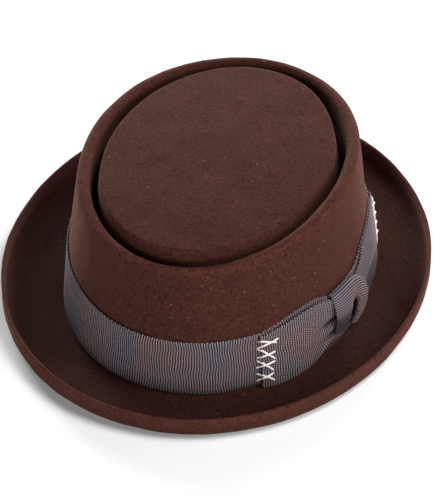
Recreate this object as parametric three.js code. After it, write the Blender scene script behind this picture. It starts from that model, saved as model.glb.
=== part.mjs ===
// A felt porkpie hat: a telescoped crown on a short brim that curls up all round, a wide ribbon
// band round the foot of the crown, and a flat ribbon bow with a knot on the wearer's left side.
//
// Millimetres. +Z is up, -Y is the hat's front, +X is the wearer's left. The origin is on the
// floor, under the middle of the brim, which rests flat on z = 0.

import * as THREE from "three";

const { lerp } = THREE.MathUtils;
const shares = (steps) => Array.from({ length: steps + 1 }, (_, i) => i / steps);

// Felt
const feltThickness = 2.2;
const headHalfWidth = 86.8; // outside of the felt at the foot of the crown, to each side
const headHalfLength = 102.6; // the same, to the front and to the back
const crownOffset = 1.6; // the crown stands this far to the left of the brim's middle

// Crown
const crownHeight = 91.8; // floor to the top of the rim, on the average round the oval
const rimRise = 2.7; // the rim is this much above the average at the sides, below it at the ends
const rimRollRadius = 3.4;
const sideLean = 9.5; // how far the rim stands in from the foot, at the sides
const endLean = 4.0; // the same, at the front and back
const breakRise = 1.0; // above the band's top edge, where the wall starts to lean in more
const breakReach = 0.3; // share of the lean that it has there
const sideGroove = 6.5; // width of the groove between the rim and the tip, at the sides
const endGroove = 7.5; // the same on the average of the front and the back
const grooveDepth = 14.0; // below the top of the rim
const grooveBend = 2.2;
const tipStand = 2.4; // how far the edge of the tip stands above the rim
const tipDome = 2.6; // how far the middle of the tip stands above its edge
const tipEdgeBend = 4.5;
const tipForward = 1.8; // the tip stands this far in front of the crown's middle

// Brim
const sideBrim = 36.4; // width of the brim beyond the crown, at the sides
const endBrim = 37.6; // the same, at the front and back
const curlRadius = 8.9; // underside of the curl
const brimEdgeHeight = 14.0; // floor to the rounded edge of the curl
const footBend = 0.8; // where the crown turns out into the brim

// Ribbon band
const clearance = 0.3; // between pieces that lie on each other
const bandThickness = 1.0;
const bandWidth = 37.4;
const bandLift = 0.7; // lower edge of the band above the brim

// Bow: one loop of ribbon pressed flat and pinched in the middle
const bowThickness = 0.8;
const bowWidth = 40.0; // width of its ribbon
const bowHalfLength = 73.0; // from the middle of the knot to each folded end
const bowAngle = -6.3; // degrees round from the wearer's left, towards the back
const foldSpacing = 1.6; // between the middles of the two layers at a folded end
const bowFullness = 1.9; // how much further the two layers stand apart between knot and fold
const bowArch = 0.5; // share of that fullness that is lost at the ribbon's two edges
const bowFlare = 1.6; // how far the lower edge swings out from the band
const pleatDepth = 1.2; // of the pleats that run in under the knot
const pleatCount = 3;

// Knot: a wrap of the same ribbon round the middle of the bow
const knotThickness = 0.8;
const knotHalfWidth = 17.5; // along the band
const knotShift = 5.0; // its middle lies this far in front of the bow's middle
const knotHeight = 36.2; // up the crown
const knotRise = 3.0; // middle of the knot above the middle of the band
const knotTilt = 4.0; // how much lower its rear edge hangs than its front edge
const knotFullness = 0.8; // how far its face swells out from the bow
const knotCrease = 0.8; // depth of the fold in the lower half of its face
const knotRoundness = 3.2; // of its section, where 2 is an oval and more is squarer

// Facets
const ovalSteps = 60;
const edgeSteps = 3; // round the edge of the brim
const bowSteps = 9; // from the knot's middle to a folded end
const foldSteps = 3;
const bowAcross = 2 * pleatCount;
const knotFaceSteps = 12;
const knotBackSteps = 4;
const knotAcross = 8;
const ovalAngles = shares(ovalSteps).slice(0, -1).map((share) => 2 * Math.PI * share);

// Sizes that follow from the ones above. An oval is a half width, a half length, and how far its
// middle stands to the left and forward.
const centre = { side: 0, end: 0, offset: crownOffset, forward: 0 };
const tipCentre = { ...centre, forward: tipForward };
const foot = { ...centre, side: headHalfWidth, end: headHalfLength };
const rimOuter = inwards(foot, sideLean, endLean);
const rimInner = inwards(rimOuter, 2 * rimRollRadius, 2 * rimRollRadius);
const tipEdge = { ...inwards(rimInner, sideGroove, endGroove), forward: tipForward };
const brimEdge = {
  side: headHalfWidth + sideBrim - feltThickness,
  end: headHalfLength + endBrim - feltThickness,
  offset: 0,
  forward: 0,
};
const bandFoot = feltThickness + bandLift;
const bandTop = bandFoot + bandWidth;
const bandMiddle = (bandFoot + bandTop) / 2;
const tipHeight = crownHeight + tipStand;
const grooveHeight = crownHeight - grooveDepth;
const breakHeight = bandTop + breakRise;
const trough = curlRadius - feltThickness; // upper side of the curl
const bowBed = clearance + knotThickness + clearance; // the bow passes over the back of the knot
const bowCrest = bowBed + bowThickness + foldSpacing + pleatDepth;
const knotFace = bowCrest + clearance + knotThickness / 2 + knotFullness;

// The corners of the felt's outer skin, from the middle of the tip out to the edge of the brim.
// reach is the share of the way from one oval to the next, height is above the floor, rise is the
// share of rimRise, bend is the radius of the corner on this skin, and steps are its facets.
const feltCorners = [
  { from: tipCentre, to: tipEdge, reach: 0, height: domeHeight(0), rise: 0, bend: 0, steps: 0 },
  { from: tipCentre, to: tipEdge, reach: 0.4, height: domeHeight(0.4), rise: 0, bend: 0, steps: 0 },
  { from: tipCentre, to: tipEdge, reach: 0.75, height: domeHeight(0.75), rise: 0, bend: 0, steps: 0 },
  { from: tipCentre, to: tipEdge, reach: 1, height: tipHeight, rise: 0, bend: tipEdgeBend, steps: 3 },
  { from: tipEdge, to: rimInner, reach: 0.32, height: grooveHeight, rise: 0, bend: grooveBend, steps: 2 },
  { from: tipEdge, to: rimInner, reach: 0.9, height: grooveHeight, rise: 0, bend: grooveBend, steps: 2 },
  { from: centre, to: rimInner, reach: 1, height: crownHeight, rise: 1, bend: rimRollRadius, steps: 3 },
  { from: centre, to: rimOuter, reach: 1, height: crownHeight, rise: 1, bend: rimRollRadius, steps: 3 },
  { from: foot, to: rimOuter, reach: breakReach, height: breakHeight, rise: 0, bend: 0, steps: 0 },
  { from: centre, to: foot, reach: 1, height: feltThickness, rise: 0, bend: footBend, steps: 2 },
  { from: centre, to: brimEdge, reach: 1, height: feltThickness, rise: 0, bend: trough, steps: 5 },
  { from: centre, to: brimEdge, reach: 1, height: brimEdgeHeight, rise: 0, bend: 0, steps: 0 },
];

// The bow from the middle of the knot out to a folded end. along is a share of bowHalfLength; low
// and high are its edges above the middle of the band, as shares of bowWidth; open, flare and
// pleats are shares of bowFullness, bowFlare and pleatDepth; over is 1 where it lies on the knot's
// back and 0 where it lies on the band.
const bowRows = [
  { along: 0, low: -0.24, high: 0.34, open: 0, flare: 0, pleats: 0.2, over: 1 },
  { along: 0.24, low: -0.27, high: 0.42, open: 0, flare: 0, pleats: 1, over: 1 },
  { along: 0.34, low: -0.3, high: 0.46, open: 0.1, flare: 0, pleats: 0.8, over: 1 },
  { along: 0.45, low: -0.41, high: 0.56, open: 0.8, flare: 0.5, pleats: 0.3, over: 0.3 },
  { along: 0.6, low: -0.455, high: 0.59, open: 1, flare: 0.8, pleats: 0, over: 0 },
  { along: 0.8, low: -0.47, high: 0.53, open: 0.5, flare: 1, pleats: 0, over: 0 },
  { along: 1, low: -0.47, high: 0.46, open: 0, flare: 1, pleats: 0, over: 0 },
];

// The fold in the knot's face: where it lies across the knot, from -1 at the front edge to 1 at
// the rear edge, and its width.
const creasePlace = 0.35;
const creaseWidth = 0.3;

// The oval that stands inside another by one distance at the sides and one at the ends.
function inwards(oval, sideBy, endBy) {
  return { ...oval, side: oval.side - sideBy, end: oval.end - endBy };
}

function domeHeight(reach) {
  return tipHeight + tipDome * (1 - reach * reach);
}

// One station of the felt's profile, "side" or "end", as corners that aren't bent yet.
function bareCorners(station) {
  const rimHeight = station === "side" ? rimRise : -rimRise;
  return feltCorners.map(({ from, to, reach, height, rise, bend, steps }) => ({
    point: new THREE.Vector2(lerp(from[station], to[station], reach), height + rise * rimHeight),
    offset: lerp(from.offset, to.offset, reach),
    forward: lerp(from.forward, to.forward, reach),
    bend,
    steps,
  }));
}

// The same profile with each corner bent round, as points of the outer skin with their normals.
function bentSkin(station) {
  const profile = bareCorners(station);
  const leftOf = (direction) => new THREE.Vector2(-direction.y, direction.x);
  const skin = [];
  profile.forEach((corner, i) => {
    const { point, offset, forward, steps } = corner;
    const before = profile[i - 1]?.point;
    const after = profile[i + 1]?.point;
    const arriving = before ? point.clone().sub(before).normalize() : new THREE.Vector2(1, 0);
    const leaving = after ? after.clone().sub(point).normalize() : arriving;
    const turn = Math.atan2(arriving.cross(leaving), arriving.dot(leaving));
    if (steps === 0) {
      const normal = i === 0 ? leftOf(arriving) : leftOf(arriving.clone().add(leaving).normalize());
      skin.push({ point, normal, offset, forward });
      return;
    }
    const room = Math.min(point.distanceTo(before), point.distanceTo(after)) / 2;
    const tangent = Math.min(corner.bend * Math.tan(Math.abs(turn) / 2), room);
    const radius = tangent / Math.tan(Math.abs(turn) / 2);
    const start = point.clone().addScaledVector(arriving, -tangent);
    const middle = start.clone().addScaledVector(leftOf(arriving), Math.sign(turn) * radius);
    for (let k = 0; k <= steps; k++) {
      const normal = leftOf(arriving).rotateAround(new THREE.Vector2(), (turn * k) / steps);
      const bent = middle.clone().addScaledVector(normal, -Math.sign(turn) * radius);
      skin.push({ point: bent, normal, offset, forward });
    }
  });
  return skin;
}

// The closed outline of the felt's wall at one station: the outer skin, the rounded edge of the
// brim, and the inner skin back to the middle of the tip.
function feltOutline(station) {
  const outer = bentSkin(station);
  const inner = outer.map(({ point, normal, offset, forward }) => ({
    point: point.clone().addScaledVector(normal, -feltThickness),
    offset,
    forward,
  }));
  const last = outer[outer.length - 1];
  const edgeMiddle = last.point.clone().addScaledVector(last.normal, -feltThickness / 2);
  const edge = shares(edgeSteps).slice(1, -1).map((share) => {
    const spoke = last.normal.clone().multiplyScalar(feltThickness / 2);
    spoke.rotateAround(new THREE.Vector2(), -Math.PI * share);
    return { point: edgeMiddle.clone().add(spoke), offset: last.offset, forward: last.forward };
  });
  return [...outer, ...edge, ...inner.reverse()];
}

// One closed body through a list of rings. With poles it ends in a point at each end; without
// them its last ring joins its first.
function loft(rings, poles) {
  const count = rings[0].length;
  const points = rings.flat();
  const faces = [];
  const spans = poles ? rings.length - 1 : rings.length;
  for (let i = 0; i < spans; i++) {
    const here = i * count;
    const next = ((i + 1) % rings.length) * count;
    for (let j = 0; j < count; j++) {
      const beside = (j + 1) % count;
      faces.push([here + j, here + beside, next + beside], [here + j, next + beside, next + j]);
    }
  }
  if (poles) {
    const first = points.length;
    const lastRing = (rings.length - 1) * count;
    points.push(poles[0], poles[1]);
    for (let j = 0; j < count; j++) {
      const beside = (j + 1) % count;
      faces.push([first, beside, j], [first + 1, lastRing + j, lastRing + beside]);
    }
  }
  return solidGeometry(points, faces);
}

// A geometry from shared points and faces, turned so that its faces point out.
function solidGeometry(points, faces) {
  let volume = 0;
  for (const [a, b, c] of faces) {
    volume += points[a].dot(points[b].clone().cross(points[c]));
  }
  const index = volume < 0 ? faces.map(([a, b, c]) => [a, c, b]) : faces;
  const geometry = new THREE.BufferGeometry().setFromPoints(points);
  geometry.setIndex(index.flat());
  geometry.computeVertexNormals();
  return geometry;
}

// Felt body: the two stations of the wall, blended round the oval.
function feltGeometry() {
  const side = feltOutline("side");
  const end = feltOutline("end");
  const around = (k, angle) => {
    const across = Math.cos(angle);
    const lengthwise = Math.sin(angle);
    return new THREE.Vector3(
      side[k].point.x * across + side[k].offset,
      end[k].point.x * lengthwise - end[k].forward,
      side[k].point.y * across ** 2 + end[k].point.y * lengthwise ** 2,
    );
  };
  const last = side.length - 1;
  const rings = [];
  for (let k = 1; k < last; k++) {
    rings.push(ovalAngles.map((angle) => around(k, angle)));
  }
  return loft(rings, [around(0, 0), around(last, 0)]);
}

// The oval of the crown's wall at a height, standing out from it by a distance.
function wallOval(height, out) {
  const share = (breakReach * (height - feltThickness)) / (breakHeight - feltThickness);
  return { side: foot.side - sideLean * share + out, end: foot.end - endLean * share + out };
}

// Hat band: a ribbon ring round the foot of the crown.
function bandGeometry() {
  const inside = clearance;
  const outside = clearance + bandThickness;
  const section = [[bandFoot, inside], [bandFoot, outside], [bandTop, outside], [bandTop, inside]];
  const rings = ovalAngles.map((angle) => section.map(([height, out]) => {
    const { side, end } = wallOval(height, out);
    return new THREE.Vector3(side * Math.cos(angle) + crownOffset, end * Math.sin(angle), height);
  }));
  return loft(rings, null);
}

// A point that stands off the band's face: along the band from the bow's middle, at a height.
function offBand(along, height, stand) {
  const { side, end } = wallOval(height, clearance + bandThickness);
  const steps = 24;
  let angle = THREE.MathUtils.degToRad(bowAngle);
  for (let i = 0; i < steps; i++) {
    angle += along / steps / Math.hypot(side * Math.sin(angle), end * Math.cos(angle));
  }
  const outward = new THREE.Vector2(Math.cos(angle) / side, Math.sin(angle) / end).normalize();
  return new THREE.Vector3(
    side * Math.cos(angle) + outward.x * stand + crownOffset,
    end * Math.sin(angle) + outward.y * stand,
    height,
  );
}

// A closed loop of ribbon: the rows run round the loop and each row crosses the ribbon.
function ribbonLoop(rows, thickness) {
  const unit = (a, b) => b.clone().sub(a).normalize();
  const rings = rows.map((row, i) => {
    const before = rows[(i + rows.length - 1) % rows.length];
    const after = rows[(i + 1) % rows.length];
    const normals = row.map((point, j) => {
      const round = unit(before[j], point).add(unit(point, after[j]));
      const across = row[Math.min(j + 1, row.length - 1)].clone().sub(row[Math.max(j - 1, 0)]);
      return round.cross(across).normalize();
    });
    const skin = (shift) => row.map((point, j) => point.clone().addScaledVector(normals[j], shift));
    return [...skin(thickness / 2), ...skin(-thickness / 2).reverse()];
  });
  return loft(rings, null);
}

// The values of bowRows at a place between two of its rows.
function bowRowAt(along) {
  const i = Math.max(1, bowRows.findIndex((row) => row.along >= along));
  const [a, b] = [bowRows[i - 1], bowRows[i]];
  const share = (along - a.along) / (b.along - a.along);
  return Object.fromEntries(Object.keys(a).map((name) => [name, lerp(a[name], b[name], share)]));
}

// A row across the bow. depth goes from 0 on the under layer to 1 on the outer one, and past is
// how far a fold reaches past the end.
function bowRow(along, depth, past) {
  const { low, high, open, flare, pleats, over } = bowRowAt(Math.abs(along));
  return shares(bowAcross).map((across) => {
    const swell = open * bowFullness * (1 - bowArch * (2 * across - 1) ** 2);
    const pleat = pleats * pleatDepth * 0.5 * (1 - Math.cos(2 * Math.PI * pleatCount * across));
    const bed = clearance + over * (bowBed - clearance) + bowThickness / 2;
    const stand = bed + flare * bowFlare * (1 - across) ** 2 + depth * (foldSpacing + swell + pleat);
    const height = bandMiddle + bowWidth * lerp(low, high, across);
    return offBand(along * bowHalfLength + past, height, stand);
  });
}

// Bow: outer layer, rear fold, under layer, front fold.
function bowGeometry() {
  const layer = shares(2 * bowSteps).map((share) => 2 * share - 1);
  const turns = shares(foldSteps).slice(1, -1).map((share) => Math.PI * share);
  const fold = (end) => turns.map((turn) => {
    const past = (end * Math.sin(turn) * foldSpacing) / 2;
    return bowRow(end, 0.5 + 0.5 * end * Math.cos(turn), past);
  });
  const outer = layer.map((along) => bowRow(along, 1, 0));
  const under = layer.map((along) => bowRow(-along, 0, 0));
  return ribbonLoop([...outer, ...fold(1), ...under, ...fold(-1)], bowThickness);
}

// A row across the knot, at a share of its height from -1 to 1, on its face or its back.
function knotRow(level, isFace) {
  const back = clearance + knotThickness / 2;
  const bulge = isFace ? (1 - Math.abs(level) ** knotRoundness) ** (1 / knotRoundness) : 0;
  return shares(knotAcross).map((share) => {
    const across = 2 * share - 1;
    const nearCrease = Math.exp(-(((across - creasePlace) / creaseWidth) ** 2));
    const crease = knotCrease * nearCrease * 0.5 * (1 - level);
    const height = bandMiddle + knotRise - (knotTilt / 2) * across + (knotHeight / 2) * level;
    const stand = back + bulge * (knotFace - crease - back);
    return offBand(across * knotHalfWidth - knotShift, height, stand);
  });
}

// Knot: its face from the lower edge to the upper one, and its back down again.
function knotGeometry() {
  const face = shares(knotFaceSteps).map((share) => knotRow(-Math.cos(Math.PI * share), true));
  const back = shares(knotBackSteps).slice(1, -1).map((share) => knotRow(1 - 2 * share, false));
  return ribbonLoop([...face, ...back], knotThickness);
}

// Materials and sub-parts
const felt = new THREE.MeshStandardMaterial({ color: 0x4b3029, roughness: 0.95, metalness: 0 });
const ribbon = new THREE.MeshStandardMaterial({ color: 0x5b5557, roughness: 0.7, metalness: 0 });

const group = new THREE.Group();
const subParts = [
  ["felt_body", feltGeometry(), felt],
  ["hat_band", bandGeometry(), ribbon],
  ["bow_loops", bowGeometry(), ribbon],
  ["bow_knot", knotGeometry(), ribbon],
];
for (const [name, geometry, material] of subParts) {
  const mesh = new THREE.Mesh(geometry, material.clone());
  mesh.name = name;
  group.add(mesh);
}

export default group;
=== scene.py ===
"""A brown felt porkpie hat on a pale floor, dressed over its solids.

Lengths are in millimetres until a mesh, lamp or camera is made, and MM turns them into metres. The
frame is the part's own: +Z up, -Y the hat's front, +X the wearer's left, the floor at zero.
"""

import math

import bpy
import numpy as np
from mathutils import Matrix, Vector, noise


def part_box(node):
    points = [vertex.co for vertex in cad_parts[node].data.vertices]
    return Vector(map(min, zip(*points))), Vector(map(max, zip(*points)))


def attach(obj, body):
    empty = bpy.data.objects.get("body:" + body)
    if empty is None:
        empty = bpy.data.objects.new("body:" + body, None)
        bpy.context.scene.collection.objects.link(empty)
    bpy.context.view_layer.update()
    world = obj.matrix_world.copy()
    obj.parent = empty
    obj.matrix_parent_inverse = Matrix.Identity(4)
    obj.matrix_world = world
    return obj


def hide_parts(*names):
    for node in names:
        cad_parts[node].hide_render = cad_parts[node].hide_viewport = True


MM = 0.001

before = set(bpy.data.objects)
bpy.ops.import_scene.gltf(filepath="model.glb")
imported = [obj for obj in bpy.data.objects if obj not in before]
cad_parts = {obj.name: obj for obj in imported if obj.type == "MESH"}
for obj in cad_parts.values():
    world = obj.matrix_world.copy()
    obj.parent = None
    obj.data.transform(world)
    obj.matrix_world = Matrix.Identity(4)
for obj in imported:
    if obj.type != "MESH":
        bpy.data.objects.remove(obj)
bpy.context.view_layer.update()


def box_of(node):
    """Lowest and highest corner of a solid, in millimetres."""
    return [np.array(corner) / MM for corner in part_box(node)]


felt_high = box_of("felt_body")[1]
band_low, band_high = box_of("hat_band")

# Felt
FELT_THICKNESS = 2.2
CROWN_OFFSET = (band_low[0] + band_high[0]) / 2
CLEARANCE = 0.3  # between the felt and the band
BAND_THICKNESS = 1.0
HEAD_HALF_WIDTH = 86.8
HEAD_HALF_LENGTH = 102.6
CROWN_HEIGHT = 91.8
RIM_RISE = 2.7  # of the rim at the sides, and its fall at the ends
RIM_ROLL = 3.4
SIDE_LEAN = 9.5
END_LEAN = 4.0
BREAK_RISE = 1.0  # height above the band where the wall starts to lean more
BREAK_REACH = 0.3  # share of its lean that the wall has there
SIDE_GROOVE = 6.5
END_GROOVE = 7.5
GROOVE_DEPTH = 14.0
GROOVE_FLOOR = (0.32, 0.9)  # its first and last place on the way from the tip's edge to the rim
TIP_STAND = 2.4
TIP_FORWARD = 1.8
TIP_DOME = felt_high[2] - CROWN_HEIGHT - TIP_STAND
TIP_EDGE_BEND = 4.5
GROOVE_BEND = 2.2
BREAK_BEND = 30.0
FOOT_BEND = 0.8
BEND_ROOM = 0.49  # the most of a straight that one bend may take
CURL_RADIUS = 8.9
BRIM_EDGE_HEIGHT = 14.0
FELT_UNEVENNESS = ((34.0, 0.5), (11.0, 0.2))  # size and depth of each wave

# Painted light in the felt's colour: painted shade in the groove and in the brim's trough, painted
# highlights on the rim's roll and on the brim's edge. Each gives the share of the light taken out, or
# put in if below zero, then where it starts and where it is full. The first two are measured down from
# the rim, the others from the floor.
GROOVE_PAINTED_SHADE = (0.5, 0.5, 6.0)
RIM_PAINTED_HIGHLIGHT = (-0.3, 3.5, 0.5)
TROUGH_PAINTED_SHADE = (0.38, 9.0, 3.0)
EDGE_PAINTED_HIGHLIGHT = (-0.3, 8.0, 13.0)
GROOVE_FRONT = (-0.7, 0.1)  # sine round the crown where the groove's painted shade starts and is full
GROOVE_REACH = 4.0  # how far below the groove's depth it still counts as the groove
RIM_STARTS = 0.985  # in shares of the rim's inner oval
BRIM_STARTS = 1.01  # in shares of the oval of the crown's foot

# Ribbon
BAND_FOOT = band_low[2]
BAND_TOP = band_high[2]
BAND_MIDDLE = (BAND_FOOT + BAND_TOP) / 2
BOW_ANGLE = -6.3
RIBBON_THICKNESS = 0.8
RIB_PITCH = 1.5
RIB_DEPTH = 0.17
RIB_STRAY = 0.4  # how far a rib strays in slow waves
RIB_TREMBLE = 0.22  # and in quick ones
SELVEDGE = 0.3
SELVEDGE_SCALLOP = 0.6  # how much farther it reaches on a rib
BAND_EASE = 0.1  # how far the band's face stands off the solid's
BAND_WAVE = 0.12
BAND_WAVE_LENGTH = 31.0
BAND_FLARE = 1.4  # how far the band's foot stands out at the hat's front
FLARE_LEFT = (-82.0, -108.0)  # along the band, where the flare starts and is full
FLARE_RIGHT = (-255.0, -190.0)
FLARE_HEAD = 0.15  # share of it at the band's upper edge

# Facets
AROUND = 264
DOME_STEPS = 26
EDGE_STEPS = 6  # round the edge of the brim
RIB_COLUMNS = 4  # along one rib
BAND_PLACES = 13  # up the band
BOW_PLACES = 37
KNOT_PLACES = 49
ARC_STEPS = 4000  # to measure the length round the band

# Camera
PHOTO_WIDTH = 435
PHOTO_HEIGHT = 495
VIEW_AZIMUTH = 22.53
VIEW_ELEVATION = 41.74
VIEW_ROLL = -0.23
VIEW_DISTANCE = 2461.6
VIEW_SCALE = 1.7262  # pixels to a millimetre, at that distance
VIEW_CENTRE = (5.8, -12.81, 35.0)
SENSOR = 36.0
CLIP_END = 20000.0


def lerp(a, b, share):
    return a + (b - a) * share


def ramp(value, start, end):
    """A soft step from 0 at the start to 1 at the end."""
    share = np.clip((value - start) / (end - start), 0, 1)
    return share**2 * (3 - 2 * share)


def unit(vectors):
    return vectors / np.linalg.norm(vectors, axis=-1, keepdims=True)


# Meshes


def grid_piece(name, rings, material, node, closed, layers=None):
    """A skin through rings of points [ring, place, xyz]. A closed one joins its last ring to its
    first, and an open one ends in the middle point of each end ring. Each of the named layers gives
    two numbers for each point, with one more place, and one more ring if it is closed. The faces
    that end an open skin have zeros there."""
    count, places = rings.shape[:2]
    spans = count if closed else count - 1
    corners = [(0, 0), (0, 1), (1, 1), (1, 0)]
    i, j = np.meshgrid(np.arange(spans), np.arange(places), indexing="ij")
    quads = np.stack(
        [((i + a) % count) * places + (j + b) % places for a, b in corners], axis=-1
    ).reshape(-1, 4)
    points = rings.reshape(-1, 3)
    faces = quads.tolist()
    if not closed:
        first = len(points)
        last_ring = (count - 1) * places
        points = np.vstack([points, rings[0].mean(axis=0), rings[-1].mean(axis=0)])
        for place in range(places):
            beside = (place + 1) % places
            faces.append([first, beside, place])
            faces.append([first + 1, last_ring + place, last_ring + beside])
    mesh = bpy.data.meshes.new(name)
    mesh.from_pydata((points * MM).tolist(), [], faces)
    for layer_name, values in (layers or {}).items():
        layer = mesh.uv_layers.new(name=layer_name)
        pairs = np.stack([values[i + a, j + b] for a, b in corners], axis=-2).reshape(-1)
        zeros = 2 * len(mesh.loops) - len(pairs)
        layer.data.foreach_set("uv", np.pad(pairs, (0, zeros)))
    mesh.polygons.foreach_set("use_smooth", [True] * len(mesh.polygons))
    mesh.validate()
    mesh.update()
    return dress(bpy.data.objects.new(name, mesh), material, node)


def dress(piece, material, node):
    """Puts a finished piece on the frame with its material, in place of a solid if it has one."""
    piece.data.materials.append(material)
    bpy.context.scene.collection.objects.link(piece)
    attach(piece, "root")
    if node:
        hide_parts(node)
    return piece


def face_outwards(rings):
    """The same rings, turned round if their skin would face inwards."""
    here = rings
    beside = np.roll(rings, -1, axis=1)
    ahead = np.roll(rings, -1, axis=0)
    volume = np.einsum("ijk,ijk->", here, np.cross(beside, ahead))
    return rings if volume > 0 else rings[:, ::-1]


# Felt


def felt_corners():
    """The corners of the felt's upper skin from the middle of the tip to the edge of the brim, as in
    the solid, with more facets: side, end, left, forward, height, rise, bend, turns and run."""
    foot = (HEAD_HALF_WIDTH, HEAD_HALF_LENGTH, CROWN_OFFSET, 0.0)
    rim_outer = inwards(foot, SIDE_LEAN, END_LEAN)
    rim_inner = inwards(rim_outer, 2 * RIM_ROLL, 2 * RIM_ROLL)
    tip_edge = (*inwards(rim_inner, SIDE_GROOVE, END_GROOVE)[:2], CROWN_OFFSET, TIP_FORWARD)
    tip_centre = (0.0, 0.0, CROWN_OFFSET, TIP_FORWARD)
    brim_edge = (felt_high[0] - FELT_THICKNESS, felt_high[1] - FELT_THICKNESS, 0.0, 0.0)
    tip_height = CROWN_HEIGHT + TIP_STAND
    floor_height = CROWN_HEIGHT - GROOVE_DEPTH
    rows = []

    def corner(a, b, reach, height, rise=0.0, bend=0.0, turns=0, run=1):
        oval = [lerp(here, there, reach) for here, there in zip(a, b)]
        rows.append((*oval, height, rise, bend, turns, run))

    for step in range(DOME_STEPS):
        reach = step / DOME_STEPS
        corner(tip_centre, tip_edge, reach, tip_height + TIP_DOME * (1 - reach**2))
    corner(tip_edge, tip_edge, 0, tip_height, bend=TIP_EDGE_BEND, turns=9, run=5)
    corner(tip_edge, rim_inner, GROOVE_FLOOR[0], floor_height, bend=GROOVE_BEND, turns=5)
    corner(tip_edge, rim_inner, GROOVE_FLOOR[1], floor_height, bend=GROOVE_BEND, turns=5, run=4)
    corner(rim_inner, rim_inner, 0, CROWN_HEIGHT, rise=1, bend=RIM_ROLL, turns=7)
    corner(rim_outer, rim_outer, 0, CROWN_HEIGHT, rise=1, bend=RIM_ROLL, turns=7, run=14)
    corner(foot, rim_outer, BREAK_REACH, BAND_TOP + BREAK_RISE, bend=BREAK_BEND, turns=3, run=10)
    corner(foot, foot, 0, FELT_THICKNESS, bend=FOOT_BEND, turns=3, run=10)
    trough = CURL_RADIUS - FELT_THICKNESS
    corner(brim_edge, brim_edge, 0, FELT_THICKNESS, bend=trough, turns=9, run=2)
    corner(brim_edge, brim_edge, 0, BRIM_EDGE_HEIGHT)
    return rows


def inwards(oval, side_by, end_by):
    """The oval with its half width and its half length made less."""
    side, end, left, forward = oval
    return side - side_by, end - end_by, left, forward


def bent_skin(rows, station):
    """Points, normals and middles of the skin at the hat's side (0) or end (1)."""
    rise = RIM_RISE if station == 0 else -RIM_RISE
    bare = np.array([(row[station], row[4] + row[5] * rise) for row in rows])
    skin = []

    def leave(a, b, steps):
        for step in range(1, steps):
            point, normal, middle = (lerp(x, y, step / steps) for x, y in zip(a, b))
            skin.append((point, unit(normal), middle))

    run = 1
    for place, row in enumerate(rows):
        middle, bend, turns = np.array(row[2:4]), row[6], row[7]
        here = bare[place]
        arriving = unit(here - bare[place - 1]) if place else np.array([1.0, 0.0])
        leaving = unit(bare[place + 1] - here) if place + 1 < len(rows) else arriving
        turn = math.atan2(arriving[0] * leaving[1] - arriving[1] * leaving[0], arriving @ leaving)
        if turns:
            room = min(np.linalg.norm(here - bare[place - 1]), np.linalg.norm(bare[place + 1] - here))
            tangent = min(bend * math.tan(abs(turn) / 2), room * BEND_ROOM)
            radius = tangent / math.tan(abs(turn) / 2)
            left = np.array([-arriving[1], arriving[0]])
            hub = here - arriving * tangent + left * math.copysign(radius, turn)
            fresh = []
            for step in range(turns + 1):
                angle = turn * step / turns
                c, s = math.cos(angle), math.sin(angle)
                normal = np.array([c * left[0] - s * left[1], s * left[0] + c * left[1]])
                fresh.append((hub - normal * math.copysign(radius, turn), normal, middle))
        else:
            mean = unit(arriving + leaving) if place else arriving
            fresh = [(here, np.array([-mean[1], mean[0]]), middle)]
        if skin:
            leave(skin[-1], fresh[0], run)
        skin.extend(fresh)
        run = row[8]
    points, normals, middles = zip(*skin)
    return np.array(points), np.array(normals), np.array(middles)


def felt_rings():
    """Rings of the whole felt wall: upper skin, rounded edge of the brim, lower skin."""
    rows = felt_corners()
    angles = np.arange(AROUND) * 2 * np.pi / AROUND
    c, s = np.cos(angles), np.sin(angles)
    outlines = []
    for station in (0, 1):
        points, normals, middles = bent_skin(rows, station)
        lower = points - normals * FELT_THICKNESS
        middle = points[-1] - normals[-1] * FELT_THICKNESS / 2
        edge = []
        for step in range(1, EDGE_STEPS):
            turn = -math.pi * step / EDGE_STEPS
            x, y = normals[-1] * FELT_THICKNESS / 2
            turned = (math.cos(turn) * x - math.sin(turn) * y, math.sin(turn) * x + math.cos(turn) * y)
            edge.append(middle + np.array(turned))
        outlines.append(np.vstack([points, edge, lower[::-1]]))
    side, end = outlines
    shift = np.vstack([middles, np.tile(middles[-1], (EDGE_STEPS - 1, 1)), middles[::-1]])
    x = side[:, :1] * c + shift[:, :1]
    y = end[:, :1] * s - shift[:, 1:]
    z = side[:, 1:] * c**2 + end[:, 1:] * s**2
    rings = np.stack([x, y, z], axis=-1)
    upper = len(points)
    return uneven(rings, upper)[1:-1]


def uneven(rings, upper):
    """Blocked felt is never quite true: both skins move together by a soft unevenness."""
    skin = rings[:upper]
    around = np.roll(skin, -1, axis=1) - np.roll(skin, 1, axis=1)
    outward = np.gradient(skin, axis=0)
    normals = np.cross(outward, around)
    length = np.linalg.norm(normals, axis=-1, keepdims=True)
    normals = normals / np.maximum(length, 1e-9)
    shift = np.zeros(skin.shape[:2])
    for size, depth in FELT_UNEVENNESS:
        for i in range(skin.shape[0]):
            for j in range(skin.shape[1]):
                shift[i, j] += depth * noise.noise(Vector(skin[i, j] / size))
    moved = normals * shift[..., None]
    full = np.zeros_like(rings)
    full[:upper] = moved
    full[-upper:] = moved[::-1]
    full[upper:-upper] = moved[-1]
    result = rings + full
    result[..., 2] = np.maximum(result[..., 2], 0.0)
    return result


def painted_light_at(painted_light, value):
    """The share of painted shade, or of painted highlight if below zero, at a value that is measured
    as its start and end are.
    """
    share, start, end = painted_light
    return share * ramp(value, start, end)


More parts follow.
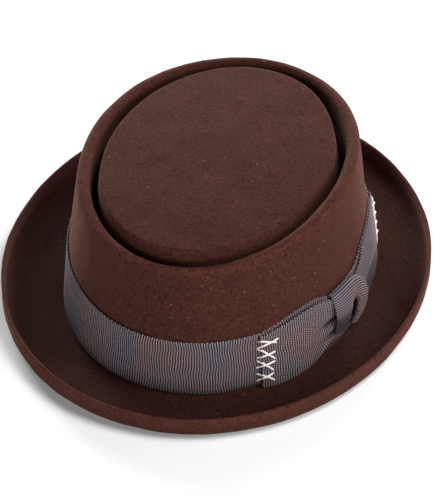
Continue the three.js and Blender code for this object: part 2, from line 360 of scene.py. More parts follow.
def felt_painted_light(rings):
    """The painted shade in the groove and in the brim's trough, as the share of the light taken out,
    and below zero the painted highlight on the rim's roll and on the brim's edge, as the share put in."""
    x, y, z = np.moveaxis(rings, -1, 0)
    foot = (HEAD_HALF_WIDTH, HEAD_HALF_LENGTH, CROWN_OFFSET, 0.0)
    rim = inwards(foot, SIDE_LEAN + 2 * RIM_ROLL, END_LEAN + 2 * RIM_ROLL)
    of_rim, of_foot = (np.hypot((x - CROWN_OFFSET) / oval[0], y / oval[1]) for oval in (rim, foot))
    turn = np.arctan2(y, x - CROWN_OFFSET)
    below_rim = CROWN_HEIGHT + RIM_RISE * np.cos(2 * turn) - z
    in_groove = (of_rim < 1.0) & (below_rim < GROOVE_DEPTH + GROOVE_REACH)
    # Painted shade in the groove, full at the back and none at the front; painted highlight on the
    # rim's roll.
    groove = painted_light_at(GROOVE_PAINTED_SHADE, below_rim) * ramp(np.sin(turn), *GROOVE_FRONT)
    rim_highlight = np.where(of_rim >= RIM_STARTS, painted_light_at(RIM_PAINTED_HIGHLIGHT, below_rim), 0.0)
    crown = np.where(in_groove, groove, rim_highlight)
    # Painted shade in the brim's trough and a painted highlight on its raised edge.
    brim = painted_light_at(TROUGH_PAINTED_SHADE, z) + painted_light_at(EDGE_PAINTED_HIGHLIGHT, z)
    return np.where(of_foot > BRIM_STARTS, brim, crown)


def make_felt(material):
    rings = face_outwards(felt_rings())
    painted_light = felt_painted_light(np.concatenate([rings, rings[:, :1]], axis=1))
    layers = {"painted_light": np.stack([painted_light, painted_light], axis=-1)}
    return grid_piece("felt_hat", rings, material, "felt_body", closed=False, layers=layers)


# The wall and the band on it


def wall_oval(height, out):
    """Half width and half length of the crown's wall at a height, standing out by a distance."""
    break_height = BAND_TOP + BREAK_RISE
    share = BREAK_REACH * (height - FELT_THICKNESS) / (break_height - FELT_THICKNESS)
    return HEAD_HALF_WIDTH - SIDE_LEAN * share + out, HEAD_HALF_LENGTH - END_LEAN * share + out


def band_arc():
    """Angles round the band and the length along its face to each, from the bow's middle."""
    side, end = wall_oval(BAND_MIDDLE, CLEARANCE + BAND_THICKNESS)
    angles = np.radians(BOW_ANGLE) + np.linspace(-np.pi, np.pi, ARC_STEPS + 1)
    pace = np.hypot(side * np.sin(angles), end * np.cos(angles))
    steps = (pace[1:] + pace[:-1]) / 2 * np.diff(angles)
    lengths = np.concatenate([[0.0], np.cumsum(steps)])
    return angles, lengths - lengths[len(lengths) // 2]


ARC_ANGLES, ARC_LENGTHS = band_arc()
BAND_LENGTH = ARC_LENGTHS[-1] - ARC_LENGTHS[0]


def on_band(along, height, stand):
    """Points off the band's face: along the band from the bow's middle, at a height."""
    along, height, stand = np.broadcast_arrays(along, height, stand)
    angle = np.interp(along, ARC_LENGTHS, ARC_ANGLES)
    side, end = wall_oval(height, CLEARANCE + BAND_THICKNESS)
    c, s = np.cos(angle), np.sin(angle)
    outward = unit(np.stack([c / side, s / end], axis=-1))
    x = side * c + outward[..., 0] * stand + CROWN_OFFSET
    y = end * s + outward[..., 1] * stand
    return np.stack([x, y, height], axis=-1)


def wobble(along, height):
    """How far a rib strays along the ribbon: woven ribs are never quite straight."""
    slow = RIB_STRAY * np.sin(height / 4.3 + along / 9.7)
    quick = RIB_TREMBLE * np.sin(height / 1.7 - along / 17.0 + 1.3 * np.sin(along / 6.1))
    return slow + quick


def ribbon_piece(name, middles, phase, thickness, material, node, painted_light=0.0):
    """A closed loop of ribbed ribbon. middles[step, place] are points of its middle surface, round
    the loop and across the ribbon. phase counts the ribs, with one more step than there are. The last
    argument is the painted shade at each point, as the share of the light taken out of its colour."""
    ahead = np.roll(middles, -1, axis=0) - np.roll(middles, 1, axis=0)
    across = np.gradient(middles, axis=1)
    normals = unit(np.cross(ahead, across))
    wave = np.cos(2 * np.pi * phase[:-1])
    lift = (thickness / 2 + RIB_DEPTH * wave)[..., None]
    front = middles + normals * lift
    back = middles - normals * lift
    edge = (SELVEDGE * (1 + SELVEDGE_SCALLOP * wave))[..., None]
    low = middles[:, :1] - unit(across[:, :1]) * edge[:, :1]
    high = middles[:, -1:] + unit(across[:, -1:]) * edge[:, -1:]
    rings = np.concatenate([front, high, back[:, ::-1], low], axis=1)
    places = middles.shape[1]
    shares = np.linspace(0, 1, places)
    columns = np.concatenate([shares, [1.0], shares[::-1], [0.0, 0.0]])

    def widened(values):
        edges = [values, values[:, -1:], values[:, ::-1], values[:, :1], values[:, :1]]
        return np.concatenate(edges, axis=1)

    wide = widened(phase)
    painted_light = np.broadcast_to(painted_light, middles.shape[:2])
    dark = widened(np.concatenate([painted_light, painted_light[:1]]))
    layers = {
        "ribbon": np.stack([wide, np.broadcast_to(columns, wide.shape)], axis=-1),
        "painted_light": np.stack([dark, dark], axis=-1),
    }
    return grid_piece(name, rings, material, node, closed=True, layers=layers)


def smooth_table(rows, places):
    """Every column of a table at the given places, by a smooth curve through its rows."""
    table = np.array(rows, dtype=float)
    keys = table[:, 0]
    slopes = np.gradient(table, keys, axis=0)
    i = np.clip(np.searchsorted(keys, places, side="right") - 1, 0, len(keys) - 2)
    gap = (keys[i + 1] - keys[i])[..., None]
    t = ((places - keys[i]) / gap[..., 0])[..., None]
    a, b = table[i], table[i + 1]
    return (
        a * (2 * t**3 - 3 * t**2 + 1)
        + slopes[i] * gap * (t**3 - 2 * t**2 + t)
        + b * (3 * t**2 - 2 * t**3)
        + slopes[i + 1] * gap * (t**3 - t**2)
    )


def rib_count(length):
    """Whole ribs in a length, so that they meet where a loop closes."""
    return round(length / RIB_PITCH)


def make_band(material):
    ribs = rib_count(BAND_LENGTH)
    steps = ribs * RIB_COLUMNS
    along = ARC_LENGTHS[0] + np.arange(steps) * BAND_LENGTH / steps
    across = np.linspace(0, 1, BAND_PLACES)
    ease = BAND_EASE + BAND_WAVE * np.sin(along / BAND_WAVE_LENGTH)[:, None] * across
    in_front = ramp(along, *FLARE_LEFT) * ramp(along, *FLARE_RIGHT)
    ease = ease + BAND_FLARE * in_front[:, None] * (1 + FLARE_HEAD - across)
    height = lerp(BAND_FOOT + SELVEDGE, BAND_TOP - SELVEDGE, across)
    strayed = along[:, None] + wobble(along[:, None], height)
    middles = on_band(strayed, height, -BAND_THICKNESS / 2 + ease)
    phase = np.arange(steps + 1)[:, None] / RIB_COLUMNS + np.zeros(len(across))
    return ribbon_piece("hat_band_ribbon", middles, phase, BAND_THICKNESS, material, "hat_band")


# Bow. along from its middle, with the front half below zero; low and high edge above the floor;
# stand of the outer layer off the band at its foot, middle and head, and of the under layer; pleats,
# their depth; sweep, how far the ribs are drawn away from the knot in the middle of the ribbon.
BOW_ROWS = [
    (-73.0, 2.6, 39.4, 3.0, 2.2, 1.9, 0.75, 0.0, 0.0),
    (-64.0, 1.9, 41.4, 3.6, 2.6, 2.1, 0.75, 0.0, 0.0),
    (-52.0, 2.9, 44.0, 4.0, 3.8, 2.6, 0.75, 0.0, 0.4),
    (-40.0, 5.0, 44.9, 3.8, 4.5, 2.9, 0.75, 0.0, 2.2),
    (-32.0, 8.4, 44.0, 3.6, 4.5, 3.2, 0.8, 0.6, 4.6),
    (-27.0, 10.9, 42.2, 3.4, 4.4, 3.4, 1.2, 1.8, 5.0),
    (-23.0, 12.2, 40.2, 3.0, 4.0, 3.2, 1.6, 2.6, 4.4),
    (-17.0, 12.6, 38.6, 2.6, 3.2, 2.8, 1.7, 1.4, 2.0),
    (0.0, 12.6, 38.4, 2.4, 2.9, 2.6, 1.7, 0.4, 0.0),
    (13.0, 13.5, 41.6, 1.8, 3.4, 1.6, 1.2, 0.6, -2.0),
    (22.0, 12.5, 45.6, 1.3, 3.4, 0.2, 0.9, 0.8, -3.4),
    (30.0, 9.6, 47.6, 1.2, 3.2, -0.1, 0.75, 0.4, -2.4),
    (40.0, 6.0, 48.0, 1.2, 2.9, -0.1, 0.75, 0.0, -1.0),
    (52.0, 3.4, 47.2, 1.5, 2.3, -0.1, 0.75, 0.0, 0.0),
    (64.0, 2.4, 44.6, 2.4, 2.0, 0.3, 0.75, 0.0, 0.0),
    (73.0, 2.8, 41.0, 3.0, 2.1, 1.3, 0.75, 0.0, 0.0),
]
BOW_HALF_LENGTH = BOW_ROWS[-1][0]
PLEATS = ((0.12, 0.07), (0.46, 0.08))  # place of each valley up the ribbon, and its width
BOW_TUCK = 1.9  # how far the under layer's head leans in over the band
UNDER_PLEAT = 0.5  # share of a pleat's depth that the under layer takes
UNDER_LEAST = 0.45  # least stand of the under layer, but for its tuck
LAYER_SHIFT = 40.0  # along, so that the ribs of the two layers stray unlike each other
FOLD_HALF_GAP = 0.85  # half of the room between the layers at a fold

# Painted shade on the bow, under its rear half's foot and in its pleats beside the knot: the share of
# the light that is taken out, and places up it or along it where that starts and is full.
FOOT_PAINTED_SHADE = (0.55, 0.56, 0.3)
FOOT_FROM_KNOT = (8.0, 20.0)
FOOT_FROM_REAR = (70.0, 44.0)
PLEAT_PAINTED_SHADE = 0.95
PLEAT_FROM_FRONT = (-29.0, -24.0)
PLEAT_FROM_KNOT = (-14.0, -18.0)


def valleys_at(across):
    """How deep in a pleat a place up the ribbon is: 1 at the bottom of one."""
    return sum(np.exp(-(((across - place) / width) ** 2)) for place, width in PLEATS)


def bow_profile(across, foot, middle, head):
    """Stand up the ribbon, by a smooth curve through its stand at the foot, middle and head."""
    return (
        foot * (1 - across) * (1 - 2 * across)
        + middle * 4 * across * (1 - across)
        + head * across * (2 * across - 1)
    )


def bow_surface(along, across, depth):
    """Points of the bow. depth goes from 0 on the under layer to 1 on the outer one."""
    _, low, high, foot, middle, head, under, pleats, sweep = np.moveaxis(
        smooth_table(BOW_ROWS, along), -1, 0
    )
    arch = 4 * across * (1 - across)
    valleys = pleats * valleys_at(across)
    front = bow_profile(across, foot, middle, head) - valleys
    tuck = BOW_TUCK * across**10
    back = np.maximum(under - UNDER_PLEAT * valleys, UNDER_LEAST) - tuck
    height = lerp(low, high, across)
    strayed = along - sweep * arch + wobble(along + LAYER_SHIFT * depth, height)
    return on_band(strayed, height, lerp(back, front, depth))


def bow_painted_shade(along, across):
    """Painted shade under the rear half's foot and in the pleats beside the knot."""
    rear_half = ramp(along, *FOOT_FROM_KNOT) * ramp(along, *FOOT_FROM_REAR)
    beside_knot = ramp(along, *PLEAT_FROM_FRONT) * ramp(along, *PLEAT_FROM_KNOT)
    valleys = np.minimum(valleys_at(across), 1.0)
    foot = painted_light_at(FOOT_PAINTED_SHADE, across)
    return np.maximum(foot * rear_half, PLEAT_PAINTED_SHADE * beside_knot * valleys)


def make_bow(material):
    """A flat loop: the outer layer to the rear, the fold there, the under layer back, and the
    front fold."""
    span = 2 * BOW_HALF_LENGTH
    fold_length = math.pi * FOLD_HALF_GAP
    ribs = rib_count(2 * span + 2 * fold_length)
    steps = ribs * RIB_COLUMNS
    travel = np.arange(steps) * (2 * span + 2 * fold_length) / steps
    across = np.linspace(0, 1, BOW_PLACES)
    along = np.empty(steps)
    depth = np.empty(steps)
    for step, length in enumerate(travel):
        if length < span:
            along[step], depth[step] = length - span / 2, 1
        elif length < span + fold_length:
            turn = (length - span) / FOLD_HALF_GAP
            along[step] = span / 2 + FOLD_HALF_GAP * math.sin(turn)
            depth[step] = 0.5 + 0.5 * math.cos(turn)
        elif length < 2 * span + fold_length:
            along[step], depth[step] = span / 2 - (length - span - fold_length), 0
        else:
            turn = (length - 2 * span - fold_length) / FOLD_HALF_GAP
            along[step] = -span / 2 - FOLD_HALF_GAP * math.sin(turn)
            depth[step] = 0.5 - 0.5 * math.cos(turn)
    past = np.sign(along) * np.maximum(np.abs(along) - BOW_HALF_LENGTH, 0)
    inside = np.clip(along, -BOW_HALF_LENGTH, BOW_HALF_LENGTH)
    middles = bow_surface(inside[:, None], across[None, :], depth[:, None])
    beyond = bow_surface((inside - np.sign(along) * 0.5)[:, None], across[None, :], depth[:, None])
    middles = middles + unit(middles - beyond) * np.abs(past)[:, None, None]
    phase = np.arange(steps + 1)[:, None] / RIB_COLUMNS + np.zeros(len(across))
    painted_light = bow_painted_shade(inside[:, None], across[None, :])
    return ribbon_piece("bow_ribbon", middles, phase, RIBBON_THICKNESS, material, "bow_loops", painted_light)


# Knot. level from its lower edge (-1) to its upper edge (1); along of its front and its rear edge;
# stand of its face off the band; along of the hollow fold near its rear edge, and its depth.
KNOT_ROWS = [
    (-1.0, -22.4, 0.6, 4.4, -9.6, 3.6),
    (-0.6, -22.8, 4.4, 6.6, -8.2, 5.4),
    (-0.2, -23.0, 7.2, 7.8, -7.0, 4.8),
    (0.2, -23.2, 9.4, 8.0, -5.6, 2.0),
    (0.6, -23.2, 11.2, 6.8, -4.5, 0.2),
    (1.0, -22.8, 12.6, 4.2, -4.0, 0.0),
]
KNOT_LOW = (13.6, 7.6)  # height of the lower edge at the front and at the rear
KNOT_HIGH = (41.6, 42.4)
KNOT_DROP = 14.0  # how much lower than that the upper edge's rear corner hangs
KNOT_FOLD_WIDTH = 4.0
KNOT_FOLD_DEPTH = 5.4
KNOT_UNDERCUT = 7.0  # how far the bottom of the fold runs on under the rear edge
KNOT_BACK = 0.75  # stand of its back off the band
KNOT_LEAST = 1.2  # least stand of its face
KNOT_EDGE = 0.8  # stand of its face at its front and rear edges, as a share
KNOT_TURN = 0.94  # level where the face turns round to the back
FOLD_PAINTED_SHADE = (0.98, 0.05, 0.5)  # painted shade in the fold's hollow: share of the light taken out; from and to shares of the fold's depth
FACE_PAINTED_SHADE = 0.65  # painted shade in front of the fold, on the lower half: share of the light taken out
FACE_SHADE_REACH = 2.0  # from the fold's place, behind it to where that starts, in front to its full
FACE_SHADE_LEVELS = (0.25, -0.25)


def knot_surface(level, across, face):
    """Points of the knot and the painted shade on them: face is 1 on its face and 0 on its back."""
    _, front, rear, stand, place, fold = np.moveaxis(smooth_table(KNOT_ROWS, level), -1, 0)
    along = lerp(front, rear, across)
    low = lerp(KNOT_LOW[0], KNOT_LOW[1], across)
    high = lerp(KNOT_HIGH[0], KNOT_HIGH[1], across) - KNOT_DROP * across**4
    height = lerp(low, high, (level + 1) / 2)
    edge = 1 - np.abs(2 * across - 1) ** 6
    dip = np.maximum(fold, 0.0) * np.exp(-(((along - place) / KNOT_FOLD_WIDTH) ** 4))
    face_stand = np.maximum(stand * lerp(KNOT_EDGE, 1.0, edge) - dip, KNOT_LEAST)
    off = lerp(KNOT_BACK, face_stand, face)
    deep = dip / KNOT_FOLD_DEPTH
    in_front = ramp(along, place + FACE_SHADE_REACH, place - FACE_SHADE_REACH)
    low_face_shade = FACE_PAINTED_SHADE * in_front * ramp(level, *FACE_SHADE_LEVELS)
    painted_light = np.maximum(painted_light_at(FOLD_PAINTED_SHADE, deep), low_face_shade)
    return on_band(along + face * KNOT_UNDERCUT * deep**3, height, off), painted_light


def make_knot(material):
    """A flat loop: up its face, round its upper edge, down its back and round its lower edge."""
    face_steps, turn_steps, back_steps = 96, 10, 24
    turn_size = 1 - KNOT_TURN
    level = []
    face = []
    for step in range(face_steps):
        level.append(lerp(-KNOT_TURN, KNOT_TURN, step / (face_steps - 1)))
        face.append(1.0)
    for step in range(1, turn_steps + 1):
        turn = math.pi * step / (turn_steps + 1)
        level.append(KNOT_TURN + turn_size * math.sin(turn))
        face.append(0.5 + 0.5 * math.cos(turn))
    for step in range(back_steps):
        level.append(lerp(KNOT_TURN, -KNOT_TURN, step / (back_steps - 1)))
        face.append(0.0)
    for step in range(1, turn_steps + 1):
        turn = math.pi * step / (turn_steps + 1)
        level.append(-KNOT_TURN - turn_size * math.sin(turn))
        face.append(0.5 - 0.5 * math.cos(turn))
    level = np.array(level)
    face = np.array(face)
    across = np.linspace(0, 1, KNOT_PLACES)
    middles, painted_light = knot_surface(level[:, None], across[None, :], face[:, None])
    run = np.linalg.norm(np.roll(middles, -1, axis=0) - middles, axis=-1).mean(axis=1)
    travel = np.concatenate([[0.0], np.cumsum(run)])
    phase = (travel / travel[-1] * rib_count(travel[-1]))[:, None] + np.zeros(len(across))
    return ribbon_piece(
        "bow_knot_wrap", middles, phase, RIBBON_THICKNESS, material, "bow_knot", painted_light
    )


# Cross stitches. Each thread goes from one point to the other, both along the band from the bow's
# middle and above the floor, and passes over the other threads by its lift.
FRONT_THREADS = [
    (-74.5, 35.0, -64.6, 32.6, 0.0),
    (-75.2, 30.4, -63.4, 35.0, 0.7),
    (-75.2, 29.6, -66.0, 21.4, 0.0),
    (-75.4, 23.0, -65.6, 26.4, 0.7),
    (-75.9, 21.2, -67.4, 13.6, 0.0),
    (-76.4, 16.0, -65.9, 19.6, 0.7),
    (-76.2, 11.6, -67.0, 6.2, 0.0),
    (-76.4, 6.4, -67.4, 11.4, 0.7),
]
REAR_THREADS = [
    (75.0, 37.0, 66.0, 30.0, 0.0),
    (75.0, 30.0, 66.0, 37.0, 0.7),
    (75.3, 29.4, 66.2, 22.4, 0.0),
    (75.3, 22.4, 66.2, 29.4, 0.7),
    (75.5, 21.8, 66.4, 14.8, 0.0),
    (75.5, 14.8, 66.4, 21.8, 0.7),
    (75.5, 14.2, 66.6, 7.2, 0.0),
    (75.5, 7.2, 66.6, 14.2, 0.7),
]
THREAD_RADIUS = 0.55
FOLD_REACH = 1.3  # how far the bow's fold reaches past its half length
STAND_SHOWS = 0.84  # a stand of 1 mm looks like this much less height, from the front and above
THREAD_STEPS = 26
THREAD_SIDES = 10
THREAD_LIFT = 0.8  # height of its middle over the ribbon, in radii
THREAD_DIVE = 1.6  # how far it sinks below that at its ends, in radii
PLIES = 3
PLY_PITCH = 2.6
PLY_DEPTH = 0.13  # in radii


def bow_face(along, height):
    """How far the ribbon's face stands off the band there: the bow's, or none past its fold."""
    inside = min(max(along, -BOW_HALF_LENGTH), BOW_HALF_LENGTH)
    _, low, high, foot, middle, head = smooth_table(BOW_ROWS, np.array([inside]))[0][:6]
    across = min(max((height - low) / (high - low), 0.0), 1.0)
    stand = bow_profile(across, foot, middle, head)
    past = (abs(along) - BOW_HALF_LENGTH) / FOLD_REACH
    share = math.sqrt(1 - min(max(past, 0.0), 1.0) ** 2)
    return share * (stand + RIBBON_THICKNESS / 2)


def thread_tube(start, end, lift):
    """Points of one thread's skin, as rings, with its plies twisted round it. It is pulled tight, so
    from the front and above it runs straight, and at both ends it sinks into the ribbon."""
    shares = np.linspace(0, 1, THREAD_STEPS + 1)
    bridge = lerp(bow_face(*start), bow_face(*end), shares)
    seen = lerp(start[1], end[1], shares) - STAND_SHOWS * bridge
    centres = []
    for share, straight, level in zip(shares, bridge, seen):
        along = lerp(start[0], end[0], share)
        stand = max(bow_face(along, level + STAND_SHOWS * straight), straight)
        arch = math.sin(math.pi * share)
        stand += THREAD_RADIUS * (THREAD_LIFT - THREAD_DIVE * (1 - arch**0.4)) + lift * arch**2
        centres.append(on_band(along, level + STAND_SHOWS * stand, stand))
    centres = np.array(centres)
    tangents = unit(np.gradient(centres, axis=0))
    outward = unit(centres * np.array([1.0, 1.0, 0.0]))
    side = unit(np.cross(tangents, outward))
    outward = np.cross(side, tangents)
    travel = np.concatenate([[0.0], np.cumsum(np.linalg.norm(np.diff(centres, axis=0), axis=1))])
    angles = np.arange(THREAD_SIDES) * 2 * np.pi / THREAD_SIDES
    twist = 2 * np.pi * travel[:, None] / PLY_PITCH
    radius = THREAD_RADIUS * (1 + PLY_DEPTH * np.cos(PLIES * angles - twist))
    return (
        centres[:, None]
        + side[:, None] * (np.cos(angles) * radius)[..., None]
        + outward[:, None] * (np.sin(angles) * radius)[..., None]
    )


def make_stitches(name, threads, material):
    """One piece of several threads, each a tube with closed ends."""
    points, faces = [], []
    for x1, z1, x2, z2, lift in threads:
        rings = thread_tube((x1, z1), (x2, z2), lift)
        first = len(points)
        points.extend(rings.reshape(-1, 3))
        for i in range(THREAD_STEPS):
            for j in range(THREAD_SIDES):
                k = (j + 1) % THREAD_SIDES
                here = first + i * THREAD_SIDES
                faces.append(
                    (here + j, here + k, here + k + THREAD_SIDES, here + j + THREAD_SIDES)
                )
        faces.append(tuple(first + j for j in range(THREAD_SIDES))[::-1])
        last = first + THREAD_STEPS * THREAD_SIDES
        faces.append(tuple(last + j for j in range(THREAD_SIDES)))
    mesh = bpy.data.meshes.new(name)
    mesh.from_pydata((np.array(points) * MM).tolist(), [], faces)
    mesh.polygons.foreach_set("use_smooth", [True] * len(mesh.polygons))
    mesh.update()
    return dress(bpy.data.objects.new(name, mesh), material, None)


# Materials. Colours are display colours, 0 to 255.
FELT_DARK = (49, 25, 20)
FELT_PALE = (54, 28, 23)
FELT_NAP = (220, 152, 132)
LINT_COLOUR = (112, 88, 80)
RIBBON_BROWN = (86, 71, 72)
RIBBON_GREY = (74, 72, 78)
RIBBON_WARM = (94, 76, 74)
THREAD_DARK = (196, 186, 180)
THREAD_PALE = (212, 205, 200)
FLOOR_DARK = (230, 230, 230)
FLOOR_PALE = (234, 234, 234)

GRAIN_SIZE = 1.7
LINT_SPACING = 5.0
LINT_SIZE = 0.08  # as a share of its spacing
LINT_AREAS = 41.0  # size of the areas that have lint
LINT_RARITY = 0.58
PATCH_SIZE = 24.0
WARM_MOST = 0.3  # most that a rib takes of the warm colour
RIB_PAINTED_LIGHT = (0.04, 2.0)  # painted shade between two ribs and painted highlight on a rib, as shares of the colour
THREADS_ACROSS = 27
WEAVE_PAINTED_LIGHT = (0.6, 1.35)  # painted shade between two threads and painted highlight on a thread


class Nodes:
    """A material's nodes, with short calls for the few kinds that are used."""

    def __init__(self, name, roughness):
        self.material = bpy.data.materials.new(name)
        self.material.use_nodes = True
        self.tree = self.material.node_tree
        self.shader = self.tree.nodes["Principled BSDF"]
        self.shader.inputs["Roughness"].default_value = roughness

    def add(self, kind, **settings):
        node = self.tree.nodes.new(kind)
        for key, value in settings.items():
            setattr(node, key, value)
        return node

    def link(self, source, target):
        self.tree.links.new(source, target)

    def feed(self, socket, value):
        if isinstance(value, bpy.types.NodeSocket):
            self.link(value, socket)
        else:
            socket.default_value = value

    def place(self):
        """The point on the object, in metres."""
        return self.add("ShaderNodeTexCoord").outputs["Object"]

    def noise(self, size, detail, roughness=0.5):
        """Noise from 0 to 1, with waves of a size in millimetres."""
        node = self.add("ShaderNodeTexNoise")
        node.inputs["Scale"].default_value = 1 / (size * MM)
        node.inputs["Detail"].default_value = detail
        node.inputs["Roughness"].default_value = roughness
        self.link(self.place(), node.inputs["Vector"])
        return node.outputs["Fac"]

    def maths(self, operation, a, b=0.0):
        node = self.add("ShaderNodeMath", operation=operation)
        self.feed(node.inputs[0], a)
        self.feed(node.inputs[1], b)
        return node.outputs[0]

    def spread(self, value, low, high, to_low=0.0, to_high=1.0):
        """The value, with low to high spread over to_low to to_high."""
        node = self.add("ShaderNodeMapRange")
        self.link(value, node.inputs["Value"])
        for name, number in zip(
            ("From Min", "From Max", "To Min", "To Max"), (low, high, to_low, to_high)
        ):
            node.inputs[name].default_value = number
        return node.outputs["Result"]

    def mix(self, share, a, b, blend="MIX"):
        node = self.add("ShaderNodeMix", data_type="RGBA", blend_type=blend)
        self.feed(node.inputs[0], share)
        self.feed(node.inputs[6], a)
        self.feed(node.inputs[7], b)
        return node.outputs[2]

    def shade(self, colour, factor):
        """The colour times a grey factor."""
        grey = self.add("ShaderNodeCombineColor")
        for name in ("Red", "Green", "Blue"):
            self.feed(grey.inputs[name], factor)
        return self.mix(1.0, colour, grey.outputs[0], blend="MULTIPLY")

    def with_painted_light(self, colour):
        """The colour with painted shade and painted highlight from a layer of its mesh: darker by the
        share of light taken out, lighter where that is below zero.
        """
        split = self.add("ShaderNodeSeparateXYZ")
        self.link(self.add("ShaderNodeUVMap", uv_map="painted_light").outputs[0], split.inputs[0])
        return self.shade(colour, self.spread(split.outputs[0], -1.0, 1.0, 2.0, 0.0))

    def bump(self, height, strength, depth, before=None):
        node = self.add("ShaderNodeBump")
        node.inputs["Strength"].default_value = strength
        node.inputs["Distance"].default_value = depth * MM
        self.link(height, node.inputs["Height"])
        if before:
            self.link(before, node.inputs["Normal"])
        return node.outputs["Normal"]

    def finish(self, colour, normal):
        self.link(colour, self.shader.inputs["Base Color"])
        self.link(normal, self.shader.inputs["Normal"])
        return self.material


def linear(display):
    """A display colour, 0 to 255, as the shader takes it."""
    parts = [value / 255 for value in display]
    parts = [v / 12.92 if v <= 0.04045 else ((v + 0.055) / 1.055) ** 2.4 for v in parts]
    return (*parts, 1.0)


def felt_material():
    nodes = Nodes("wool_felt", 0.9)
    nodes.shader.inputs["Specular IOR Level"].default_value = 0.05
    nodes.shader.inputs["Sheen Weight"].default_value = 0.1
    nodes.shader.inputs["Sheen Roughness"].default_value = 0.5
    nodes.shader.inputs["Sheen Tint"].default_value = linear(FELT_NAP)
    cloud = nodes.spread(nodes.noise(14.0, 4.0), 0.3, 0.7)
    colour = nodes.mix(cloud, linear(FELT_DARK), linear(FELT_PALE))
    grain = nodes.noise(GRAIN_SIZE, 3.0, roughness=0.7)
    colour = nodes.shade(colour, nodes.spread(grain, 0.3, 0.7, 0.45, 1.6))
    lint = nodes.add("ShaderNodeTexVoronoi", feature="F1")
    lint.inputs["Scale"].default_value = 1 / (LINT_SPACING * MM)
    nodes.link(nodes.place(), lint.inputs["Vector"])
    near = nodes.maths("LESS_THAN", lint.outputs["Distance"], LINT_SIZE)
    picked = nodes.maths("GREATER_THAN", nodes.noise(LINT_AREAS, 1.0), LINT_RARITY)
    colour = nodes.mix(nodes.maths("MULTIPLY", near, picked), colour, linear(LINT_COLOUR))
    # Painted shade in the groove and the brim's trough, painted highlights on the rim's roll and the
    # brim's edge.
    colour = nodes.with_painted_light(colour)
    soft = nodes.bump(nodes.noise(3.5, 3.0), 0.3, 0.3)
    return nodes.finish(colour, nodes.bump(grain, 0.5, 0.3, soft))


def ribbon_material():
    nodes = Nodes("grosgrain", 0.55)
    nodes.shader.inputs["Specular IOR Level"].default_value = 0.04
    uv = nodes.add("ShaderNodeUVMap", uv_map="ribbon").outputs[0]
    split = nodes.add("ShaderNodeSeparateXYZ")
    nodes.link(uv, split.inputs[0])
    ribs, across = split.outputs[0], split.outputs[1]
    crest = nodes.maths("COSINE", nodes.maths("MULTIPLY", ribs, 2 * math.pi))
    rib = nodes.add("ShaderNodeTexWhiteNoise", noise_dimensions="1D")
    nodes.link(nodes.maths("ROUND", ribs), rib.inputs["W"])
    patches = nodes.spread(nodes.noise(PATCH_SIZE, 3.0), 0.38, 0.62)
    colour = nodes.mix(patches, linear(RIBBON_BROWN), linear(RIBBON_GREY))
    warm = nodes.maths("MULTIPLY", nodes.spread(rib.outputs["Value"], 0.35, 1.0), WARM_MOST)
    colour = nodes.mix(warm, colour, linear(RIBBON_WARM))
    # Painted shade in the valleys between ribs and painted highlights on their crests.
    colour = nodes.shade(colour, nodes.spread(crest, -1.0, 1.0, *RIB_PAINTED_LIGHT))
    turns = nodes.maths("MULTIPLY", across, 2 * math.pi * THREADS_ACROSS)
    # Like bricks, the threads of every other rib are half a thread higher.
    shifted = nodes.maths("MULTIPLY", nodes.maths("ROUND", ribs), math.pi)
    threads = nodes.maths("COSINE", nodes.maths("ADD", turns, shifted))
    # Painted shade between the weave's threads and painted highlights on them.
    colour = nodes.shade(colour, nodes.spread(threads, -1.0, 1.0, *WEAVE_PAINTED_LIGHT))
    # Painted shade from the mesh's layer: under the bow's rear foot, in its pleats and in the knot's
    # fold.
    colour = nodes.with_painted_light(colour)
    weave = nodes.bump(threads, 0.4, 0.06)
    return nodes.finish(colour, nodes.bump(nodes.noise(0.5, 2.0), 0.3, 0.08, weave))


def thread_material():
    nodes = Nodes("cotton_thread", 0.8)
    nodes.shader.inputs["Sheen Weight"].default_value = 0.2
    fibres = nodes.noise(0.35, 3.0)
    colour = nodes.mix(nodes.spread(fibres, 0.3, 0.7), linear(THREAD_DARK), linear(THREAD_PALE))
    return nodes.finish(colour, nodes.bump(fibres, 0.4, 0.1))


def floor_material():
    nodes = Nodes("floor", 0.9)
    nodes.shader.inputs["Specular IOR Level"].default_value = 0.0
    colour = nodes.mix(nodes.noise(60.0, 2.0), linear(FLOOR_DARK), linear(FLOOR_PALE))
    return nodes.finish(colour, nodes.bump(nodes.noise(2.0, 2.0), 0.02, 0.05))


# Stage. Each light: name, azimuth from the wearer's left, elevation, watts.
LIGHTS = [
    ("front", -90.0, 12.0, 30.0),
    ("front_left", -45.0, 14.0, 21.0),
    ("left", 0.0, 35.0, 26.0),
    ("high_left", 10.0, 65.0, 34.0),
    ("back_left", 30.0, 12.0, 12.0),
    ("back", 90.0, 12.0, 66.0),
    ("back_right", 138.0, 12.0, 98.0),
]
LIGHT_SIZE = 900.0
LIGHT_DISTANCE = 2300.0
LIGHT_TARGET = 40.0  # height that they are aimed at
WORLD_LIGHT = 0.02
FLOOR_HEIGHT = -0.1  # just under the brim, so that the two faces don't coincide
FLOOR_HALF = 4000.0


def look_at(place, target, roll=0.0):
    """The matrix of a lamp or camera at a place in millimetres, looking at a target."""
    place, target = Vector(place) * MM, Vector(target) * MM
    turn = (target - place).to_track_quat("-Z", "Y").to_matrix().to_4x4()
    return Matrix.Translation(place) @ turn @ Matrix.Rotation(math.radians(roll), 4, "Z")


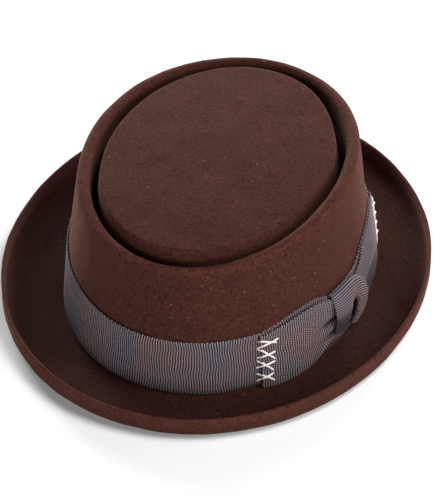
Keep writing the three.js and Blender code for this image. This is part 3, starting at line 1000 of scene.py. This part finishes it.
def softbox(name, azimuth, elevation, watts):
    """A square soft lamp that faces the hat. azimuth is round from the wearer's left to the back."""
    lamp = bpy.data.lights.new(name, "AREA")
    lamp.size = LIGHT_SIZE * MM
    lamp.energy = watts
    holder = bpy.data.objects.new(name, lamp)
    bpy.context.scene.collection.objects.link(holder)
    turn, rise = math.radians(azimuth), math.radians(elevation)
    way = Vector((math.cos(rise) * math.cos(turn), math.cos(rise) * math.sin(turn), math.sin(rise)))
    target = Vector((0.0, 0.0, LIGHT_TARGET))
    holder.matrix_world = look_at(target + way * LIGHT_DISTANCE, target)


def set_stage():
    around = [(-1, -1), (1, -1), (1, 1), (-1, 1)]
    corners = [(x * FLOOR_HALF * MM, y * FLOOR_HALF * MM, FLOOR_HEIGHT * MM) for x, y in around]
    mesh = bpy.data.meshes.new("floor")
    mesh.from_pydata(corners, [], [(0, 1, 2, 3)])
    floor = bpy.data.objects.new("floor", mesh)
    mesh.materials.append(floor_material())
    bpy.context.scene.collection.objects.link(floor)

    world = bpy.data.worlds.new("studio")
    world.use_nodes = True
    background = world.node_tree.nodes["Background"]
    background.inputs["Color"].default_value = (1.0, 1.0, 1.0, 1.0)
    background.inputs["Strength"].default_value = WORLD_LIGHT
    bpy.context.scene.world = world
    for name, azimuth, elevation, watts in LIGHTS:
        softbox(name, azimuth, elevation, watts)
    bpy.context.scene.view_settings.view_transform = "Standard"


def set_camera():
    azimuth, elevation = math.radians(VIEW_AZIMUTH), math.radians(VIEW_ELEVATION)
    back = Vector(
        (
            math.sin(azimuth) * math.cos(elevation),
            -math.cos(azimuth) * math.cos(elevation),
            math.sin(elevation),
        )
    )
    camera = bpy.data.cameras.new("camera")
    camera.sensor_width = SENSOR
    camera.lens = SENSOR * VIEW_DISTANCE * VIEW_SCALE / max(PHOTO_WIDTH, PHOTO_HEIGHT)
    camera.clip_end = CLIP_END * MM
    holder = bpy.data.objects.new("camera", camera)
    bpy.context.scene.collection.objects.link(holder)
    place = Vector(VIEW_CENTRE) + back * VIEW_DISTANCE
    holder.matrix_world = look_at(place, VIEW_CENTRE, VIEW_ROLL)
    bpy.context.scene.camera = holder


felt = felt_material()
ribbon = ribbon_material()
thread = thread_material()

make_felt(felt)
make_band(ribbon)
make_bow(ribbon)
make_knot(ribbon)
make_stitches("front_cross_stitches", FRONT_THREADS, thread)
make_stitches("rear_cross_stitches", REAR_THREADS, thread)

set_stage()
set_camera()
